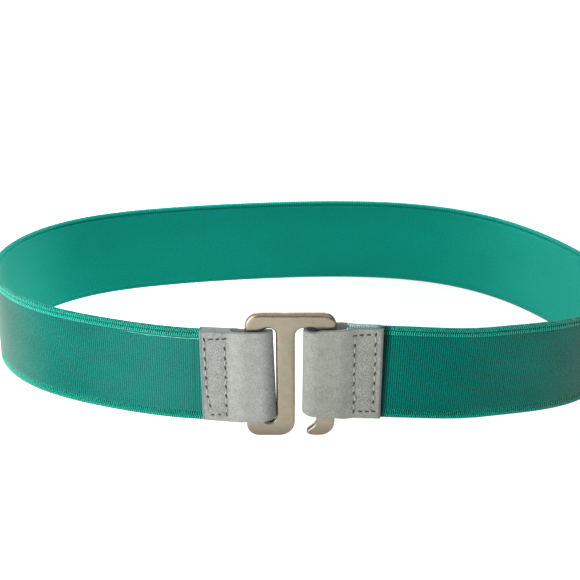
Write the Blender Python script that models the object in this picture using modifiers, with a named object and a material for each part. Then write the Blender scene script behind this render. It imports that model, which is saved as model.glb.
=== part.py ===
"""Elastic stretch belt, fastened into an oval loop and standing on a surface.

The belt's own frame has X to the wearer's left across the front, Y from the buckle
to the back and Z up, with the band's lower edge at Z 0 and the buckle near X 0, Y 0.
An empty holds that frame and leans it, because the buckle reaches lower than the band.
"""
import math
from collections import namedtuple

import bmesh
import bpy
from mathutils import Euler, Vector

MM = 0.001

# Elastic band
BAND_WIDTH = 45.0 * MM
WEB_THICKNESS = 1.8 * MM
BAND_RUN = 624.3 * MM
BAND_START = Vector((40.3 * MM, 0.9 * MM))
BAND_START_HEADING = math.radians(1.1)
STATION_SPACING = 6.0 * MM
INTEGRATION_STEPS = 3000

# How sharply the band bends, read at even steps from the right tab round the back
BandBend = namedtuple("BandBend", "place per_metre")
BAND_BENDS = (
    BandBend("right tab", 7.1),
    BandBend("right front", 0.1),
    BandBend("right bend", 29.9),
    BandBend("right shoulder", 7.7),
    BandBend("back right", 11.3),
    BandBend("back", 4.6),
    BandBend("back left", 1.3),
    BandBend("left quarter", 2.6),
    BandBend("left shoulder", 14.8),
    BandBend("left bend", 25.5),
    BandBend("left front", 6.02),
    BandBend("left tab", 4.81),
)

# The band's two ends sit at different heights in the buckle
RIGHT_END_RISE = 2.8 * MM
LEFT_END_RISE = -0.8 * MM
RISE_RUN = 45.0 * MM
RIGHT_RISE_IN_TAB = 0.8 * MM

# Selvage of two rounded cords along each edge
SelvageRow = namedtuple("SelvageRow", "from_edge half_thickness")
SELVAGE = (
    SelvageRow(0.0 * MM, 0.6 * MM),
    SelvageRow(0.7 * MM, 1.2 * MM),
    SelvageRow(1.8 * MM, 1.2 * MM),
    SelvageRow(2.5 * MM, 0.9 * MM),
    SelvageRow(3.2 * MM, 1.15 * MM),
    SelvageRow(4.3 * MM, 1.15 * MM),
    SelvageRow(5.0 * MM, WEB_THICKNESS / 2),
)

# Leather tabs
LEATHER_THICKNESS = 1.5 * MM
CLEARANCE = 0.25 * MM
ELASTIC_IN_TAB = 17.6 * MM
TAB_SETBACK = 1.1 * MM
MOUTH_HALF_ELASTIC = 0.7 * MM
SEWN_HALF_ELASTIC = 0.5 * MM
MOUTH_COVER = 2.0 * MM
MOUTH_RUN = 5.0 * MM
SEWN_LENGTH = 12.5 * MM
SPREAD_RUN = 6.6 * MM
NOSE_LENGTH = 6.6 * MM
TAB_ROWS = (0.0, 0.05, 0.15, 0.4, 0.7, 1.0)
TAB_LAYER_STEPS = 9
TAB_NOSE_STEPS = 8

# Heights of a strip's two edges, from its mouth to the fold round the bar
TabEdge = namedtuple("TabEdge", "along low high")
LEFT_TAB_EDGES = (
    TabEdge(0.0 * MM, 0.0 * MM, 44.4 * MM),
    TabEdge(12.5 * MM, -0.3 * MM, 44.4 * MM),
    TabEdge(19.5 * MM, 0.8 * MM, 45.5 * MM),
    TabEdge(26.0 * MM, 0.9 * MM, 45.9 * MM),
    TabEdge(29.0 * MM, 1.5 * MM, 45.8 * MM),
    TabEdge(30.8 * MM, 2.3 * MM, 45.7 * MM),
    TabEdge(32.0 * MM, 3.4 * MM, 45.7 * MM),
    TabEdge(32.8 * MM, 5.2 * MM, 45.7 * MM),
)
RIGHT_TAB_EDGES = (
    TabEdge(0.0 * MM, 2.9 * MM, 47.7 * MM),
    TabEdge(15.0 * MM, 2.7 * MM, 47.8 * MM),
    TabEdge(19.5 * MM, 3.9 * MM, 47.6 * MM),
    TabEdge(26.5 * MM, 4.1 * MM, 47.3 * MM),
    TabEdge(30.5 * MM, 4.2 * MM, 46.2 * MM),
    TabEdge(33.0 * MM, 4.6 * MM, 46.1 * MM),
    TabEdge(33.9 * MM, 5.6 * MM, 46.0 * MM),
)

# Each strip's mouth and fold lie at their own distances along it at the foot and at the top
Tab = namedtuple("Tab", "name color foot_mouth top_mouth foot_fold top_fold edges")
LEFT_TAB = Tab("left_tab", (0.36, 0.38, 0.36, 1.0),
               0.5 * MM, -0.6 * MM, 32.8 * MM, 30.4 * MM, LEFT_TAB_EDGES)
RIGHT_TAB = Tab("right_tab", (0.31, 0.33, 0.31, 1.0),
                -0.6 * MM, 1.0 * MM, 33.9 * MM, 34.7 * MM, RIGHT_TAB_EDGES)

# Hook buckle, a flat casting with rounded edges
BUCKLE_LEFT = -19.4 * MM
BUCKLE_RIGHT = 19.1 * MM
BUCKLE_HALF_HEIGHT = 30.5 * MM
BUCKLE_THICKNESS = 4.1 * MM
BUCKLE_EDGE_RADIUS = 1.3 * MM
BUCKLE_PLACE = Vector((0.0, 0.2 * MM, 22.8 * MM))
BUCKLE_TURN = math.radians(1.5)
BUCKLE_YAW = math.radians(0.8)
END_BAR = 6.7 * MM
SIDE_BAR = 7.4 * MM
HOOK_BAR = 8.0 * MM
CENTRE_BAR_LEFT = -5.8 * MM
CENTRE_BAR_RIGHT = 1.7 * MM
HOOK_TIP = Vector((5.1 * MM, -29.4 * MM))
HOOK_THROAT_HEIGHT = -24.4 * MM
HOOK_HEEL = 9.8 * MM
ARC_STEP = math.radians(18)

# How the fastened belt stands: on the buckle's foot and the band's back edge
LEAN_BACK = math.radians(3.23)
LEAN_SIDE = math.radians(0.2)


def clear_scene():
    for item in list(bpy.data.objects):
        bpy.data.objects.remove(item, do_unlink=True)


def make_collection(name):
    collection = bpy.data.collections.new(name)
    bpy.context.scene.collection.children.link(collection)
    return collection


def make_material(name, color, roughness, metallic=0.0):
    material = bpy.data.materials.new(name)
    material.use_nodes = True
    shader = material.node_tree.nodes["Principled BSDF"]
    shader.inputs["Base Color"].default_value = color
    shader.inputs["Roughness"].default_value = roughness
    shader.inputs["Metallic"].default_value = metallic
    return material


def add_object(name, mesh, collection, parent, material):
    item = bpy.data.objects.new(name, mesh)
    collection.objects.link(item)
    item.parent = parent
    item.data.materials.append(material)
    return item


def ease(fraction):
    """Smooth step from 0 to 1."""
    clamped = min(1.0, max(0.0, fraction))
    return clamped * clamped * (3.0 - 2.0 * clamped)


def mix(first, second, fraction):
    return first + (second - first) * fraction


def bend_at(distance):
    """The band's curvature, in straight lines between the rows of BAND_BENDS."""
    place = min(1.0, max(0.0, distance / BAND_RUN)) * (len(BAND_BENDS) - 1)
    row = min(int(place), len(BAND_BENDS) - 2)
    return mix(BAND_BENDS[row].per_metre, BAND_BENDS[row + 1].per_metre, place - row)


def band_plan():
    """Plan points and headings along the band's middle line, from the right tab to the left."""
    step = BAND_RUN / INTEGRATION_STEPS
    point = BAND_START.copy()
    heading = BAND_START_HEADING
    plan = [(point.copy(), heading)]
    for index in range(INTEGRATION_STEPS):
        turn = bend_at((index + 0.5) * step) * step
        middle = heading + turn / 2
        point = point + Vector((math.cos(middle), math.sin(middle))) * step
        heading += turn
        plan.append((point.copy(), heading))
    return plan


def plan_at(plan, distance):
    """Point and heading at a distance along the band, which runs on straight past its ends."""
    inside = min(BAND_RUN, max(0.0, distance))
    point, heading = plan[round(inside / BAND_RUN * INTEGRATION_STEPS)]
    along = Vector((math.cos(heading), math.sin(heading)))
    return point + along * (distance - inside), heading


def rise_at(distance):
    """How far the band's lower edge lies above its plane."""
    right = RIGHT_END_RISE * ease(1.0 - distance / RISE_RUN)
    right_in_tab = RIGHT_RISE_IN_TAB * ease(-distance / ELASTIC_IN_TAB)
    left = LEFT_END_RISE * ease(1.0 - (BAND_RUN - distance) / RISE_RUN)
    return right + right_in_tab + left


def elastic_limit(distance):
    """Half the thickness that the tab leaves to the elastic, here and outside the tab."""
    from_end = min(distance, BAND_RUN - distance)
    into_tab = -from_end - TAB_SETBACK
    pressed = mix(MOUTH_HALF_ELASTIC, SEWN_HALF_ELASTIC, ease(into_tab / MOUTH_RUN))
    return mix(pressed, WEB_THICKNESS, ease((-into_tab - MOUTH_COVER) / MOUTH_RUN))


def band_section(limit):
    """One closed section as (outward, up), from the lower edge up the outer face and down again."""
    rows = [(min(row.half_thickness, limit), row.from_edge) for row in SELVAGE]
    rows += [(half, BAND_WIDTH - height) for half, height in reversed(rows)]
    return rows + [(-half, height) for half, height in reversed(rows)]


def make_band(plan, collection, parent, material):
    """Loft the section along the plan, flattened where the tabs press the band's ends."""
    first = -ELASTIC_IN_TAB
    last = BAND_RUN + ELASTIC_IN_TAB
    spans = round((last - first) / STATION_SPACING)
    build = bmesh.new()
    rings = []
    for index in range(spans + 1):
        distance = mix(first, last, index / spans)
        point, heading = plan_at(plan, distance)
        outward = Vector((math.sin(heading), -math.cos(heading)))
        rise = rise_at(distance)
        ring = []
        for across, up in band_section(elastic_limit(distance)):
            place = point + outward * across
            ring.append(build.verts.new((place.x, place.y, up + rise)))
        rings.append(ring)
    for near, far in zip(rings, rings[1:]):
        for side in range(len(near)):
            other = (side + 1) % len(near)
            build.faces.new((near[side], near[other], far[other], far[side]))
    build.faces.new(rings[0])
    build.faces.new(rings[-1])
    bmesh.ops.recalc_face_normals(build, faces=build.faces)
    mesh = bpy.data.meshes.new("elastic_band")
    build.to_mesh(mesh)
    build.free()
    mesh.shade_smooth()
    mesh.set_sharp_from_angle(angle=math.radians(40))
    return add_object("elastic_band", mesh, collection, parent, material)


def tab_half_gap(along):
    """Half the distance between the two leather layers' middles, before the fold's nose."""
    leather = CLEARANCE + LEATHER_THICKNESS / 2
    sewn = SEWN_HALF_ELASTIC + leather
    mouth = MOUTH_HALF_ELASTIC + leather
    spread = BUCKLE_THICKNESS / 2 + leather + CLEARANCE
    opened = mix(sewn, spread, ease((along - SEWN_LENGTH) / SPREAD_RUN))
    return opened + (mouth - sewn) * ease(1.0 - along / MOUTH_RUN)


def tab_path(mouth, fold):
    """Plan of the folded leather as (along, across), from one mouth edge round to the other."""
    nose_start = fold - NOSE_LENGTH
    nose_run = NOSE_LENGTH - LEATHER_THICKNESS / 2
    nose_half = tab_half_gap(nose_start)
    layer = [mix(mouth, nose_start, step / TAB_LAYER_STEPS) for step in range(TAB_LAYER_STEPS)]
    path = [(along, -tab_half_gap(along)) for along in layer]
    for step in range(TAB_NOSE_STEPS + 1):
        angle = math.pi * (step / TAB_NOSE_STEPS - 0.5)
        path.append((nose_start + nose_run * math.cos(angle), nose_half * math.sin(angle)))
    return path + [(along, tab_half_gap(along)) for along in reversed(layer)]


def tab_edges(edges, along):
    """Lower and upper edge height of a strip, in straight lines between the rows of its table."""
    for near, far in zip(edges, edges[1:]):
        if along <= far.along or far is edges[-1]:
            fraction = min(1.0, max(0.0, (along - near.along) / (far.along - near.along)))
            return mix(near.low, far.low, fraction), mix(near.high, far.high, fraction)


def make_tab(tab, mouth, heading, collection, parent):
    """Fold one strip of leather round its bar: an open sheet made solid by its thickness."""
    build = bmesh.new()
    rows = []
    for row in TAB_ROWS:
        mouth_edge = mix(tab.foot_mouth, tab.top_mouth, row)
        fold_edge = mix(tab.foot_fold, tab.top_fold, row)
        line = []
        for along, across in tab_path(mouth_edge, fold_edge):
            low, high = tab_edges(tab.edges, along)
            line.append(build.verts.new((along, across, mix(low, high, row))))
        rows.append(line)
    for lower, upper in zip(rows, rows[1:]):
        for step in range(len(lower) - 1):
            build.faces.new((lower[step], lower[step + 1], upper[step + 1], upper[step]))
    mesh = bpy.data.meshes.new(tab.name)
    build.to_mesh(mesh)
    build.free()
    mesh.shade_smooth()
    material = make_material(tab.name + "_leather", tab.color, 0.62)
    item = add_object(tab.name, mesh, collection, parent, material)
    item.location = (mouth.x, mouth.y, 0.0)
    item.rotation_euler = (0.0, 0.0, heading)
    thicken = item.modifiers.new("leather", "SOLIDIFY")
    thicken.thickness = LEATHER_THICKNESS
    thicken.offset = 0.0
    thicken.use_even_offset = True
    return item


def rounded_outline(corners):
    """Points of a closed outline whose corners, given as (point, radius), become arcs."""
    points = []
    for index, (corner, radius) in enumerate(corners):
        before = (corners[index - 1][0] - corner).normalized()
        after = (corners[(index + 1) % len(corners)][0] - corner).normalized()
        half_angle = before.angle(after) / 2
        centre = corner + (before + after).normalized() * radius / math.sin(half_angle)
        start = corner + before * radius / math.tan(half_angle) - centre
        turn = math.pi - 2 * half_angle
        steps = max(2, math.ceil(turn / ARC_STEP))
        side = 1.0 if before.x * after.y - before.y * after.x < 0 else -1.0
        for step in range(steps + 1):
            angle = side * turn * step / steps
            cosine, sine = math.cos(angle), math.sin(angle)
            spoke = Vector((start.x * cosine - start.y * sine, start.x * sine + start.y * cosine))
            points.append(centre + spoke)
    return points


def buckle_outlines():
    """The buckle seen from the front: its outer outline and its closed window."""
    tall = BUCKLE_HALF_HEIGHT
    bar_low = tall - END_BAR
    hook_inner = BUCKLE_RIGHT - HOOK_BAR
    window_left = BUCKLE_LEFT + SIDE_BAR
    outer = (
        (Vector((BUCKLE_LEFT, tall)), 6.5 * MM),
        (Vector((BUCKLE_LEFT, -tall)), 5.2 * MM),
        (Vector((CENTRE_BAR_RIGHT, -tall)), 6.8 * MM),
        (Vector((CENTRE_BAR_RIGHT, bar_low)), 4.0 * MM),
        (Vector((hook_inner, bar_low)), 3.0 * MM),
        (Vector((hook_inner, HOOK_THROAT_HEIGHT)), 5.0 * MM),
        (HOOK_TIP, 1.35 * MM),
        (Vector((HOOK_HEEL, -tall)), 3.0 * MM),
        (Vector((BUCKLE_RIGHT, -tall)), 6.5 * MM),
        (Vector((BUCKLE_RIGHT, tall)), 5.8 * MM),
    )
    window = (
        (Vector((window_left, -bar_low)), 2.7 * MM),
        (Vector((window_left, bar_low)), 2.7 * MM),
        (Vector((CENTRE_BAR_LEFT, bar_low)), 2.85 * MM),
        (Vector((CENTRE_BAR_LEFT, -bar_low)), 2.7 * MM),
    )
    return rounded_outline(outer), rounded_outline(window)


def make_buckle(collection, parent, material):
    """Cast plate from a filled outline, with the curve's own bevel as its rounded edge."""
    outline = bpy.data.curves.new("buckle_outline", "CURVE")
    outline.dimensions = "2D"
    outline.fill_mode = "BOTH"
    outline.extrude = BUCKLE_THICKNESS / 2 - BUCKLE_EDGE_RADIUS
    outline.bevel_depth = BUCKLE_EDGE_RADIUS
    outline.bevel_resolution = 2
    outline.offset = -BUCKLE_EDGE_RADIUS
    for points in buckle_outlines():
        spline = outline.splines.new("POLY")
        spline.points.add(len(points) - 1)
        for target, point in zip(spline.points, points):
            target.co = (point.x, point.y, 0.0, 1.0)
        spline.use_cyclic_u = True
    drawn = bpy.data.objects.new("buckle_outline", outline)
    collection.objects.link(drawn)
    graph = bpy.context.evaluated_depsgraph_get()
    mesh = bpy.data.meshes.new_from_object(drawn.evaluated_get(graph))
    mesh.name = "hook_buckle"
    bpy.data.objects.remove(drawn, do_unlink=True)
    build = bmesh.new()
    build.from_mesh(mesh)
    bmesh.ops.remove_doubles(build, verts=build.verts, dist=0.001 * MM)
    bmesh.ops.recalc_face_normals(build, faces=build.faces)
    build.to_mesh(mesh)
    build.free()
    mesh.shade_smooth()
    mesh.set_sharp_from_angle(angle=math.radians(40))
    item = add_object("hook_buckle", mesh, collection, parent, material)
    item.location = BUCKLE_PLACE
    item.rotation_euler = Euler((math.radians(90), -BUCKLE_TURN, BUCKLE_YAW))
    return item


def stand_on_floor(frame, parts):
    """Lean the belt's frame, then move it so that the origin is under the middle of the belt."""
    frame.rotation_euler = (-LEAN_BACK, LEAN_SIDE, 0.0)
    bpy.context.view_layer.update()
    graph = bpy.context.evaluated_depsgraph_get()
    points = []
    for part in parts:
        shape = part.evaluated_get(graph)
        points += [shape.matrix_world @ vertex.co for vertex in shape.data.vertices]
    low = Vector(min(point[axis] for point in points) for axis in range(3))
    high = Vector(max(point[axis] for point in points) for axis in range(3))
    frame.location = (-(low.x + high.x) / 2, -(low.y + high.y) / 2, -low.z)


def build_belt():
    clear_scene()
    collection = make_collection("elastic_stretch_belt")
    frame = bpy.data.objects.new("belt_frame", None)
    collection.objects.link(frame)
    plan = band_plan()
    elastic = make_material("teal_elastic", (0.008, 0.28, 0.21, 1.0), 0.55)
    nickel = make_material("satin_nickel", (0.60, 0.54, 0.47, 1.0), 0.32, metallic=1.0)
    parts = [make_band(plan, collection, frame, elastic)]
    mouth, heading = plan_at(plan, -TAB_SETBACK)
    parts.append(make_tab(RIGHT_TAB, mouth, heading + math.pi, collection, frame))
    mouth, heading = plan_at(plan, BAND_RUN + TAB_SETBACK)
    parts.append(make_tab(LEFT_TAB, mouth, heading, collection, frame))
    parts.append(make_buckle(collection, frame, nickel))
    stand_on_floor(frame, parts)


build_belt()
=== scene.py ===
"""Looks of the elastic stretch belt: its woven elastic, leather tabs, stitching and cast buckle.

Everything is laid out in the belt's own frame, which has X to the wearer's left across the
front, Y from the buckle to the back and Z up, and is then leaned onto the floor as the part is.
"""

import math
from collections import namedtuple

import bmesh
import bpy
import numpy as np
from mathutils import Euler, Matrix, Vector


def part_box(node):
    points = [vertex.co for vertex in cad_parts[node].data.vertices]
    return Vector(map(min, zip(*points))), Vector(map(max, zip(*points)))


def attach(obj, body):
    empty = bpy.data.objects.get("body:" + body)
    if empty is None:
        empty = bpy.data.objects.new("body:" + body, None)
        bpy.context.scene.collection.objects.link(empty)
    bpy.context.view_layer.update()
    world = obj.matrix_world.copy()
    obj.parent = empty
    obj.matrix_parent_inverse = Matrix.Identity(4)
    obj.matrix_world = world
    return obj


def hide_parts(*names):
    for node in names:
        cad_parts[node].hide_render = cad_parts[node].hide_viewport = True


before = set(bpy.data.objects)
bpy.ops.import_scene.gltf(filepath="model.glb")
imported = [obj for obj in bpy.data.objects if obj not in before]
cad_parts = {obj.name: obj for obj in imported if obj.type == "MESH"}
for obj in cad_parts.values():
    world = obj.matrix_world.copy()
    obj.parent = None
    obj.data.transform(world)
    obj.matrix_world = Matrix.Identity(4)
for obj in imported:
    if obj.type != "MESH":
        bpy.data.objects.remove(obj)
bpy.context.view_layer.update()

MM = 0.001

# The band's line, as in the part
BAND_WIDTH = 45.0 * MM
WEB_THICKNESS = 1.8 * MM
BAND_RUN = 624.3 * MM
BAND_START = (40.3 * MM, 0.9 * MM)
BAND_START_HEADING = math.radians(1.1)
BAND_BENDS = (7.1, 0.1, 29.9, 7.7, 11.3, 4.6, 1.3, 2.6, 14.8, 25.5, 6.02, 4.81)
INTEGRATION_STEPS = 3000
STATION_SPACING = 6.0 * MM
RIGHT_END_RISE = 2.8 * MM
LEFT_END_RISE = -0.8 * MM
RISE_RUN = 45.0 * MM
RIGHT_RISE_IN_TAB = 0.8 * MM

# The part's section of the band in millimetres: from the nearer edge, half thickness
PART_SECTION = ((0.0, 0.6), (0.7, 1.2), (1.8, 1.2), (2.5, 0.9), (3.2, 1.15), (4.3, 1.15), (5.0, 0.9))

# Leather tabs, as in the part, but with their layers spread apart over a longer run
LEATHER_THICKNESS = 1.5 * MM
CLEARANCE = 0.25 * MM
ELASTIC_IN_TAB = 17.6 * MM
TAB_SETBACK = 1.1 * MM
MOUTH_HALF_ELASTIC = 0.7 * MM
SEWN_HALF_ELASTIC = 0.5 * MM
MOUTH_COVER = 2.0 * MM
MOUTH_RUN = 5.0 * MM
SEWN_LENGTH = 12.5 * MM
SPREAD_FROM = 10.6 * MM
SPREAD_RUN = 8.6 * MM
NOSE_LENGTH = 6.6 * MM

# One folded strip of leather. Front is the side across the band that faces the camera, and turn
# leads from the band's heading toward the buckle. The edges are rows of along, low and high, and the
# closed stitch line is rows of along and height, in millimetres. Its stitches are counted from corner
# to corner
Tab = namedtuple(
    "Tab",
    "name front place turn foot_mouth top_mouth foot_fold top_fold back_mouth back_dip top_sewn"
    " rubbed seed edges stitch_line stitch_corners stitch_counts loose_stitch",
)
LEFT_TAB = Tab(
    name="left_tab", front=-1.0, place=BAND_RUN + TAB_SETBACK, turn=0.0,
    foot_mouth=0.5 * MM, top_mouth=-0.6 * MM, foot_fold=32.9 * MM, top_fold=30.4 * MM,
    back_mouth=0.0, back_dip=2.0 * MM, top_sewn=1.0, rubbed=0.6, seed=0.7,
    edges=((0.0, -0.3, 44.4), (12.5, -0.8, 44.4), (19.5, 0.5, 45.5), (26.0, 0.9, 45.9),
           (29.0, 1.3, 45.8), (30.8, 1.7, 45.7), (32.2, 2.4, 45.7), (33.0, 3.6, 45.7)),
    stitch_line=((1.6, 40.6), (1.95, 28.3), (2.35, 17.2), (2.45, 14.0), (3.75, 8.0), (4.85, 2.6),
                 (11.1, 3.0), (10.6, 22.0), (10.1, 41.2)),
    stitch_corners=(0, 5, 6, 8), stitch_counts=(8, 2, 8, 3), loose_stitch=None,
)
RIGHT_TAB = Tab(
    name="right_tab", front=1.0, place=-TAB_SETBACK, turn=math.pi,
    foot_mouth=-0.3 * MM, top_mouth=1.0 * MM, foot_fold=33.9 * MM, top_fold=34.7 * MM,
    back_mouth=0.6 * MM, back_dip=0.0, top_sewn=0.0, rubbed=0.0, seed=2.1,
    edges=((0.0, 2.7, 47.7), (15.0, 2.7, 47.8), (19.5, 3.7, 47.6), (26.5, 3.9, 47.3),
           (30.5, 4.0, 46.2), (33.0, 4.6, 46.1), (33.9, 5.6, 46.0)),
    stitch_line=((4.2, 45.2), (4.1, 40.5), (3.5, 26.6), (3.35, 11.7), (2.95, 6.5),
                 (11.55, 6.3), (11.9, 14.1), (12.5, 29.0), (12.95, 44.6)),
    stitch_corners=(0, 4, 5, 8), stitch_counts=(8, 3, 8, 3), loose_stitch=(11.9 * MM, 13.8 * MM),
)

# The leather's mesh, its rounded edges and the marks of its sewing
TAB_ROW_SPACING = 0.42 * MM
SEWN_SPACING = 0.36 * MM
FOLD_COLUMNS = 18
NOSE_STEPS = 36
LEATHER_ROUND = 0.4 * MM
EDGE_ROUNDING = np.array((0.0, 0.12, 0.3, 0.55, 0.8, 1.0))
EDGE_THICKNESS = 0.45
MOUTH_BEVEL = 1.2 * MM
MOUTH_THICKNESS = 0.35
TURN_AT = SEWN_LENGTH + 1.5 * MM
RIM_OPENS = (SEWN_LENGTH + 1.0 * MM, SEWN_LENGTH - 0.5 * MM)
RIM_CLOSED = 0.8 * MM
RIM_SLIT = 0.02 * MM
STITCH_DENT = (0.2 * MM, 1.1 * MM)
HOLE_DENT = (0.25 * MM, 0.55 * MM)
DENTS_END = SEWN_LENGTH + 2.5 * MM
WAVE = 0.045 * MM
PUFF = (0.10 * MM, 3.4 * MM)
PRESSED_END = (SPREAD_FROM + 4.0 * MM, SPREAD_FROM)
WAVES_FADE = 4.0 * MM
GRAIN_SLOT, PAINTED_SLOT, BACK_SLOT = range(3)
# The left tab's back layer lies lower between its seam and the buckle
BACK_DIP_FROM = (12.0 * MM, 19.0 * MM)
BACK_DIP_TO = (31.5 * MM, 26.0 * MM)
# Where painted shade darkens the leather toward its fold, on the side turned from the light
PAINTED_FOLD_SHADE_RUN = (26.0 * MM, 32.5 * MM)

# Stitches of twisted thread, each end in a hole, drawn as a flat dark lens of painted shadow. The
# shortest hole is a share of the longest, and gapes wider
THREAD_RADIUS = 0.27 * MM
THREAD_INSET = 1.15 * MM
THREAD_LEAN = 0.16 * MM
THREAD_SUNK = 0.38 * MM
THREAD_ARCH = 0.46 * MM
THREAD_TWIST = 0.9
THREAD_SIDES = 8
THREAD_STEPS = 12
HOLE_LENGTH = 1.4 * MM
HOLE_WIDTH = 0.35 * MM
HOLE_SINK = 0.2 * MM
HOLE_LEAST = 0.62
HOLE_STEPS = 9
# The right tab's loose stitch stands higher and wider and is thicker
LOOSE_WITHIN = 2.4 * MM
LOOSE_ARCH = 0.85 * MM
LOOSE_SWAY = 0.5 * MM
LOOSE_THICKER = 1.25
THREAD_SLOT, HOLE_SHADOW_SLOT = range(2)

# Hook buckle, as in the part, but with a slightly wider stem and foot
BUCKLE_LEFT = -19.4 * MM
BUCKLE_RIGHT = 19.1 * MM
BUCKLE_TOP = 30.7 * MM
BUCKLE_FOOT = -BUCKLE_TOP
BUCKLE_THICKNESS = 4.1 * MM
BUCKLE_EDGE_RADIUS = 1.3 * MM
BUCKLE_PLACE = (0.0, 0.2 * MM, 23.0 * MM)
BUCKLE_TURN = math.radians(1.5)
BUCKLE_YAW = math.radians(0.8)
END_BAR = 6.7 * MM
FOOT_BAR = 7.3 * MM
SIDE_BAR = 7.4 * MM
HOOK_BAR = 8.0 * MM
CENTRE_BAR_LEFT = -6.3 * MM
CENTRE_BAR_RIGHT = 1.7 * MM
HOOK_TIP = (5.1 * MM, -29.6 * MM)
HOOK_THROAT_HEIGHT = -24.6 * MM
HOOK_HEEL = 9.8 * MM
BAR_LOW = BUCKLE_TOP - END_BAR
FOOT_HIGH = BUCKLE_FOOT + FOOT_BAR
HOOK_INNER = BUCKLE_RIGHT - HOOK_BAR
WINDOW_LEFT = BUCKLE_LEFT + SIDE_BAR
ARC_STEP = math.radians(5)
LEAST_ARC_STEPS = 3
EDGE_STEPS = 6
BUCKLE_VOXEL = 0.28 * MM
WEAR_STEPS = 100
WEAR_LOSS = 0.14 * MM

# The buckle seen from the front: the rounded corners of its outline and of its closed window
Corner = namedtuple("Corner", "x z radius")
BUCKLE_OUTLINE = (
    Corner(BUCKLE_LEFT, BUCKLE_TOP, 6.5 * MM),
    Corner(BUCKLE_LEFT, BUCKLE_FOOT, 5.2 * MM),
    Corner(CENTRE_BAR_RIGHT, BUCKLE_FOOT, 6.8 * MM),
    Corner(CENTRE_BAR_RIGHT, BAR_LOW, 4.0 * MM),
    Corner(HOOK_INNER, BAR_LOW, 3.0 * MM),
    Corner(HOOK_INNER, HOOK_THROAT_HEIGHT, 5.0 * MM),
    Corner(*HOOK_TIP, 1.35 * MM),
    Corner(HOOK_HEEL, BUCKLE_FOOT, 3.0 * MM),
    Corner(BUCKLE_RIGHT, BUCKLE_FOOT, 6.5 * MM),
    Corner(BUCKLE_RIGHT, BUCKLE_TOP, 5.8 * MM),
)
BUCKLE_WINDOW = (
    Corner(WINDOW_LEFT, FOOT_HIGH, 2.4 * MM),
    Corner(WINDOW_LEFT, BAR_LOW, 2.7 * MM),
    Corner(CENTRE_BAR_LEFT, BAR_LOW, 2.85 * MM),
    Corner(CENTRE_BAR_LEFT, FOOT_HIGH, 3.2 * MM),
)

# How the belt leans on the floor
LEAN_BACK = math.radians(3.23)
LEAN_SIDE = math.radians(0.2)

# Woven ribs across the band: four stations to a rib, from its groove over its crest
RIB_PITCH = 0.95 * MM
RIB_HEIGHTS = (-1.0, 0.1, 1.0, 0.1)
# The ribs' tones run from painted shade in the groove to a painted highlight on the crest
RIB_PAINTED_SHADES = (0.0, 0.5, 1.0, 0.5)
CORD_PAINTED_SHADES = (0.0, 0.0, 1.0, 1.0)
WEB_RELIEF = 0.05 * MM
INNER_RELIEF = 0.35
INNER_CONTRAST = 0.3
EVEN_TONE = 0.55
# Beyond this from a tab's mouth the ribs are fainter
CLEAR_RIBS = 45.0 * MM
FAINT_RIBS = 0.2

# The web's two faces near an edge, in millimetres: from the nearer edge, half thickness
UPPER_OUTER = ((3.35, 0.72), (3.7, 0.84), (4.1, 0.9), (6.0, 0.9), (14.0, 0.9))
LOWER_OUTER = ((4.2, 0.95), (4.7, 1.09), (5.3, 1.05), (6.3, 0.94), (14.0, 0.9))
INNER_FACE = ((1.7, 0.6), (1.95, 0.92), (2.5, 1.08), (3.2, 1.16), (4.0, 1.16), (5.2, 1.06),
              (7.5, 0.93), (14.0, 0.9))

# Selvage cords, in millimetres from the nearer edge. A chevron cord's ribs meet in a point, and the
# belt's lowest line has painted shade on its underside
Cord = namedtuple("Cord", "centre half_height half_thickness chevron tone grubby")
UPPER_CORDS = (Cord(0.5, 0.95, 1.2, 0.9, 0.95, 0.0), Cord(2.6, 1.15, 1.15, -0.5, 1.0, 0.0))
LOWER_CORDS = (Cord(1.2, 1.28, 1.2, 0.9, 1.0, 1.0), Cord(3.3, 1.8, 1.12, -0.5, 0.6, 0.0))
CORD_SIDES = 14
CORD_RELIEF = 0.07
CORD_BEYOND = 0.4 * MM
CHEVRON_REACH = 1.3 * MM
# The lower cords hang a little lower toward the front, by distance from the middle of the back
HEM_DROP = 0.35 * MM
HEM_DROP_RUN = (120.0 * MM, 220.0 * MM)

# A pale thread that has worked loose beside the left tab, under the upper cords, its pale colour partly
# a painted highlight along the web's raised border
BORDER_RUN = (BAND_RUN - 33.0 * MM, BAND_RUN + 1.0 * MM)
BORDER_STEP = 0.4 * MM
BORDER_HEIGHT = BAND_WIDTH - 4.05 * MM
BORDER_OUT = 0.98 * MM
BORDER_RADIUS = 0.14 * MM
BORDER_TAPER = 12.0 * MM
BORDER_SIDES = 6

# Inside the tabs the elastic is drawn in from its edges, all but its upper one in the right tab
TAB_SQUEEZE = 1.35 * MM
TAB_SQUEEZE_RUN = 1.6 * MM
LEFT_FOOT_FREE = (12.5 * MM, 15.0 * MM)

# Along the elastic in centimetres: where painted light makes it paler toward its left end and inside the
# right tab, and how far a painted shadow of the right tab's mouth reaches
PAINTED_LIGHT_END = (57.2, 60.6)
TUCKED_HIGHLIGHT_RUN = (-0.25, -0.6)
RIGHT_MOUTH = -0.11
MOUTH_SHADE = (0.06, 0.3)
# A greyish painted sheen along the elastic, strongest where it bends: centimetres, share
PAINTED_SHEEN = ((3.0, 0.0), (7.0, 0.24), (9.0, 0.75), (12.0, 0.9), (20.0, 0.45), (25.0, 0.1), (44.5, 0.1),
         (48.2, 0.85), (52.3, 1.0), (55.5, 0.08))
# The painted sheen's colour on the outer and inner faces
SHEEN_OUTSIDE = (0.055, 0.004, 0.005)
SHEEN_INSIDE = (0.014, 0.0, 0.0)
# Painted highlight on the elastic's top inside the right tab, for groove and crest
TUCKED_HIGHLIGHT = ((0.06, 0.32, 0.26), (0.75, 1.0, 0.93))
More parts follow.
